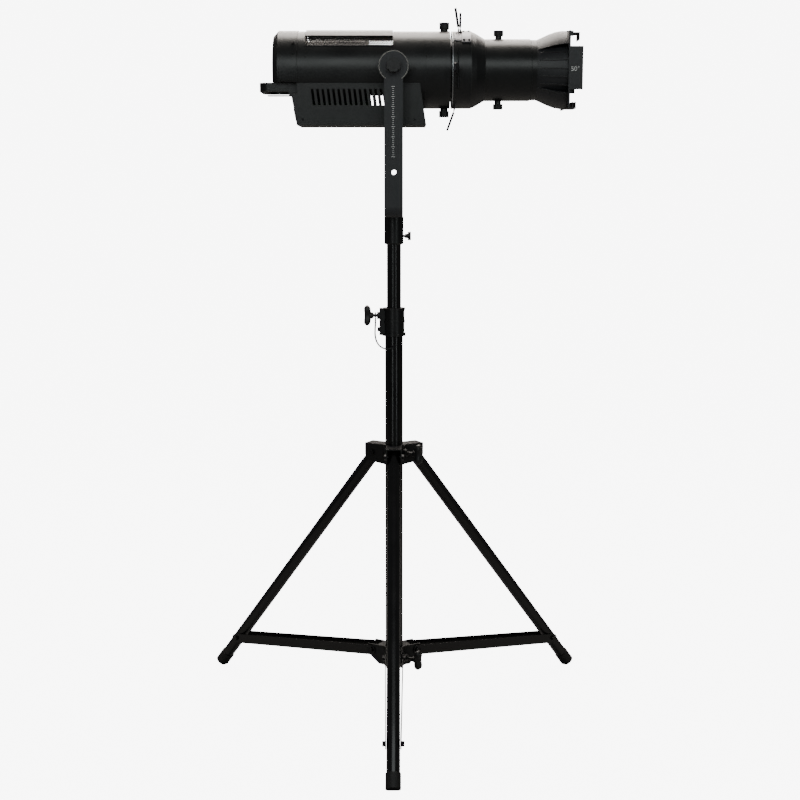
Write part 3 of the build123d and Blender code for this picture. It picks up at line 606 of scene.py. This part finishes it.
def add_gate():
    # The edge ring's bright metal is partly a worn bare edge and partly a painted edge highlight.
    edge = piece("gate_edge_highlight_ring", lambda form: ring(form, 0.1386, 0.1414, 91.4 * MM, 88.8 * MM, step=3),
                 bare_metal_and_highlight, "barrel")
    bevelled(edge, 0.5 * MM)

    def cover(form):
        ring(form, 0.1615, 0.1835, 93.2 * MM, 90.6 * MM, 12, 50, 2)
        ring(form, 0.1435, 0.1615, 92.4 * MM, 90.6 * MM, 26, 46, 2)

    bevelled(piece("slot_cover", cover, cover_metal, "barrel"), 0.8 * MM)

    def screws(form):
        for x, angle in ((0.1665, 17), (0.1785, 17), (0.1665, 45), (0.1785, 45)):
            disc(form, on_lamp(x, angle, 92.4 * MM), on_lamp(x, angle, 94.6 * MM), 2.4 * MM, 18)

    bevelled(piece("slot_cover_screws", screws, looks["fastener"], "barrel"), 0.5 * MM)


add_gate()


# ---- body: seams, adjuster slots ----
def add_body_details():
    def seams(form):
        for x, outer in ((-0.2290, 92.7 * MM), (0.0760, 91.25 * MM)):
            ring(form, x - 0.35 * MM, x + 0.35 * MM, outer, 90.5 * MM, 62, 298, 4)

    bevelled(piece("body_seams", seams, looks["housing_coat"], "lamp"), 0.2 * MM)

    def long_marks(form):
        for x in (-0.2080, 0.0770):
            for side in (1, -1):
                for a in (52, 66):
                    start, end = sorted((side * a, side * (a + 10)))
                    ring(form, x - 0.7 * MM, x + 0.7 * MM, 91.5 * MM, 90.4 * MM, start, end, 2)

    bevelled(piece("adjuster_slots", long_marks, looks["stand_casting"], "lamp"), 0.3 * MM)


add_body_details()


# ---- wing knobs of the stand ----
def wing_knob(form, stem_start, grip_start):
    """A waisted wing grip with finger ribs, a boss and a stem, pointing along +X."""
    half, depth, thick = 25.5 * MM, 18 * MM, 12 * MM
    rows = []
    stations = 28
    around = 28
    squareness = 0.62
    for k in range(stations + 1):
        u = -1 + 2 * k / stations
        u = sin(u * pi / 2) if abs(u) > 0.999 else u * (1.5 - 0.5 * u * u)
        end = max(0.06, (1 - abs(u) ** 5)) ** 0.5
        waist = 0.74 + 0.26 * sin(min(1.0, abs(u) / 0.62) * pi / 2) ** 2
        hy = thick * waist * end
        x0 = grip_start + (1.5 * MM * abs(u) ** 2 + (1 - end) * depth / 2)
        x1 = grip_start + depth - (2.5 * MM * (1 - abs(u)) ** 2 + (1 - end) * depth / 2)
        hx, cx = (x1 - x0) / 2, (x1 + x0) / 2
        row = []
        for j in range(around):
            a = 2 * pi * j / around
            c, d = cos(a), sin(a)
            row.append(form.verts.new((
                cx + hx * (abs(c) ** squareness) * (1 if c > 0 else -1),
                hy * (abs(d) ** squareness) * (1 if d > 0 else -1),
                u * half,
            )))
        rows.append(row)
    for a, b in zip(rows, rows[1:]):
        for j in range(around):
            n = (j + 1) % around
            form.faces.new([a[j], a[n], b[n], b[j]])
    form.faces.new(list(reversed(rows[0])))
    form.faces.new(rows[-1])
    disc(form, (grip_start - 6 * MM, 0, 0), (grip_start + 3 * MM, 0, 0), 7 * MM, 32, 9.5 * MM)
    disc(form, (stem_start, 0, 0), (grip_start - 2 * MM, 0, 0), 4 * MM, 24)
    disc(form, (grip_start + depth - 4 * MM, 0, 0), (grip_start + depth - 1.6 * MM, 0, 0), 5.5 * MM, 28)
    for side in (-1, 1):
        for u in (11, 14.5, 18):
            disc(form, (grip_start + depth - 1.4 * MM, -6 * MM, side * u * MM),
                 (grip_start + depth - 1.4 * MM, 6 * MM, side * u * MM), 1.1 * MM, 12)


def add_wing_knobs():
    for name, height, azimuth, stem, grip in (
        ("hub_knob", 656, -30, 22.35, 62),
        ("collar_knob", 120, -30, 22.35, 62),
        ("mast_knob", 1001, 180, 17.85, 57),
    ):
        knob = piece(name + "_wing", lambda form: wing_knob(form, stem * MM, grip * MM), looks["knob"],
                     name)
        turn = Matrix.Translation((0, 0, height * MM)) @ Matrix.Rotation(radians(azimuth), 4, "Z")
        knob.data.transform(turn)
        for face in knob.data.polygons:
            face.use_smooth = True
        knob.modifiers.new("split", "EDGE_SPLIT").split_angle = radians(45)
        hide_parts(name)


add_wing_knobs()


# ---- control panel on the far side ----
def add_display():
    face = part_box("control_panel")[1][1]
    x0, x1 = -113.5 * MM, -58.5 * MM
    z0, z1 = 1473.5 * MM, 1496.5 * MM

    def window(form):
        block(form, (x0, face - 1.4 * MM, z0), (x1, face - 0.3 * MM, z1))

    def back(form):
        block(form, (x0, face - 1.45 * MM, z0), (x1, face - 1.41 * MM, z1))

    bevelled(piece("display_window", window, looks["lens_glass"], "lamp"), 0.2 * MM)
    piece("display_back", back, looks["panel_plastic"], "lamp")


add_display()


# ---- studio: backdrop and world glow for camera rays only, so that they don't light the object ----
BACKDROP_GLOW = 8.0
WORLD_FILL = 0.10
WORLD_SEEN = 8.3


def pale(name, colour, rough, glow):
    material, tree, shader, add = node_kit(name)
    place = add("ShaderNodeTexCoord").outputs["Object"]
    clouds = add("ShaderNodeTexNoise", {"Vector": place, "Scale": 1.5, "Detail": 3.0})
    tint = add("ShaderNodeValToRGB", {"Fac": clouds.outputs["Fac"]})
    tint.color_ramp.elements[0].color = (*[c * 0.985 for c in colour], 1)
    tint.color_ramp.elements[1].color = (*colour, 1)
    tree.links.new(tint.outputs["Color"], shader.inputs["Base Color"])
    shader.inputs["Roughness"].default_value = rough
    path = add("ShaderNodeLightPath")
    bright = add("ShaderNodeEmission", {"Color": (1, 1, 1, 1), "Strength": glow})
    both = add("ShaderNodeAddShader", {0: shader.outputs[0], 1: bright.outputs[0]})
    mix = add(
        "ShaderNodeMixShader",
        {0: path.outputs["Is Camera Ray"], 1: shader.outputs[0], 2: both.outputs[0]},
    )
    tree.links.new(mix.outputs[0], tree.nodes["Material Output"].inputs["Surface"])
    return material


def add_backdrop():
    """One sheet: a floor that curves up into a wall behind."""
    form = bmesh.new()
    half = 9.0
    profile = [(-7.0, 0.0), (3.0, 0.0)]
    profile += [(3.0 + 2.0 * sin(radians(a)), 2.0 - 2.0 * cos(radians(a))) for a in range(10, 90, 10)]
    profile += [(5.0, 2.0), (5.0, 9.0)]
    rows = [[form.verts.new((x, y, z)) for x in (-half, half)] for y, z in profile]
    for a, b in zip(rows, rows[1:]):
        form.faces.new([a[0], a[1], b[1], b[0]])
    mesh = bpy.data.meshes.new("backdrop")
    form.to_mesh(mesh)
    form.free()
    mesh.materials.append(pale("backdrop_paper", (0.2, 0.2, 0.2), 0.9, BACKDROP_GLOW))
    backdrop = bpy.data.objects.new("backdrop", mesh)
    bpy.context.scene.collection.objects.link(backdrop)


def area_light(name, place, aim, width, height, power, colour):
    data = bpy.data.lights.new(name, "AREA")
    data.shape = "RECTANGLE"
    data.size = width
    data.size_y = height
    data.energy = power
    data.color = colour
    light = bpy.data.objects.new(name, data)
    light.location = place
    light.rotation_euler = (Vector(aim) - Vector(place)).to_track_quat("-Z", "Y").to_euler()
    bpy.context.scene.collection.objects.link(light)


def add_world():
    """Dim fill all round; a camera ray that misses the backdrop meets the same pale tone."""
    world = bpy.data.worlds.new("studio")
    bpy.context.scene.world = world
    world.use_nodes = True
    tree = world.node_tree
    fill = tree.nodes["Background"]
    fill.inputs["Color"].default_value = (1, 1, 1, 1)
    fill.inputs["Strength"].default_value = WORLD_FILL
    seen = tree.nodes.new("ShaderNodeBackground")
    seen.inputs["Color"].default_value = (1, 1, 1, 1)
    seen.inputs["Strength"].default_value = WORLD_SEEN
    path = tree.nodes.new("ShaderNodeLightPath")
    mix = tree.nodes.new("ShaderNodeMixShader")
    tree.links.new(path.outputs["Is Camera Ray"], mix.inputs[0])
    tree.links.new(fill.outputs[0], mix.inputs[1])
    tree.links.new(seen.outputs[0], mix.inputs[2])
    tree.links.new(mix.outputs[0], tree.nodes["World Output"].inputs["Surface"])


def add_studio():
    add_backdrop()
    warm, cool = (1.0, 0.93, 0.86), (0.93, 1.0, 0.99)
    area_light("top_box", (0.0, 0.9, 3.3), (0.0, 0.3, 1.5), 2.4, 1.0, 85, warm)
    area_light("back_box", (0.0, 2.9, 3.4), (0.0, 0.0, 1.6), 3.2, 1.2, 130, warm)
    area_light("front_box", (0.3, -3.0, 2.7), (0.2, 0.0, 1.5), 3.4, 1.2, 26, cool)
    area_light("left_strip", (-1.0, -3.3, 1.1), (0.0, 0.0, 0.9), 0.22, 2.4, 6, cool)
    area_light("right_strip", (2.0, -3.0, 1.1), (0.0, 0.0, 0.9), 0.22, 2.4, 6, cool)
    add_world()


add_studio()
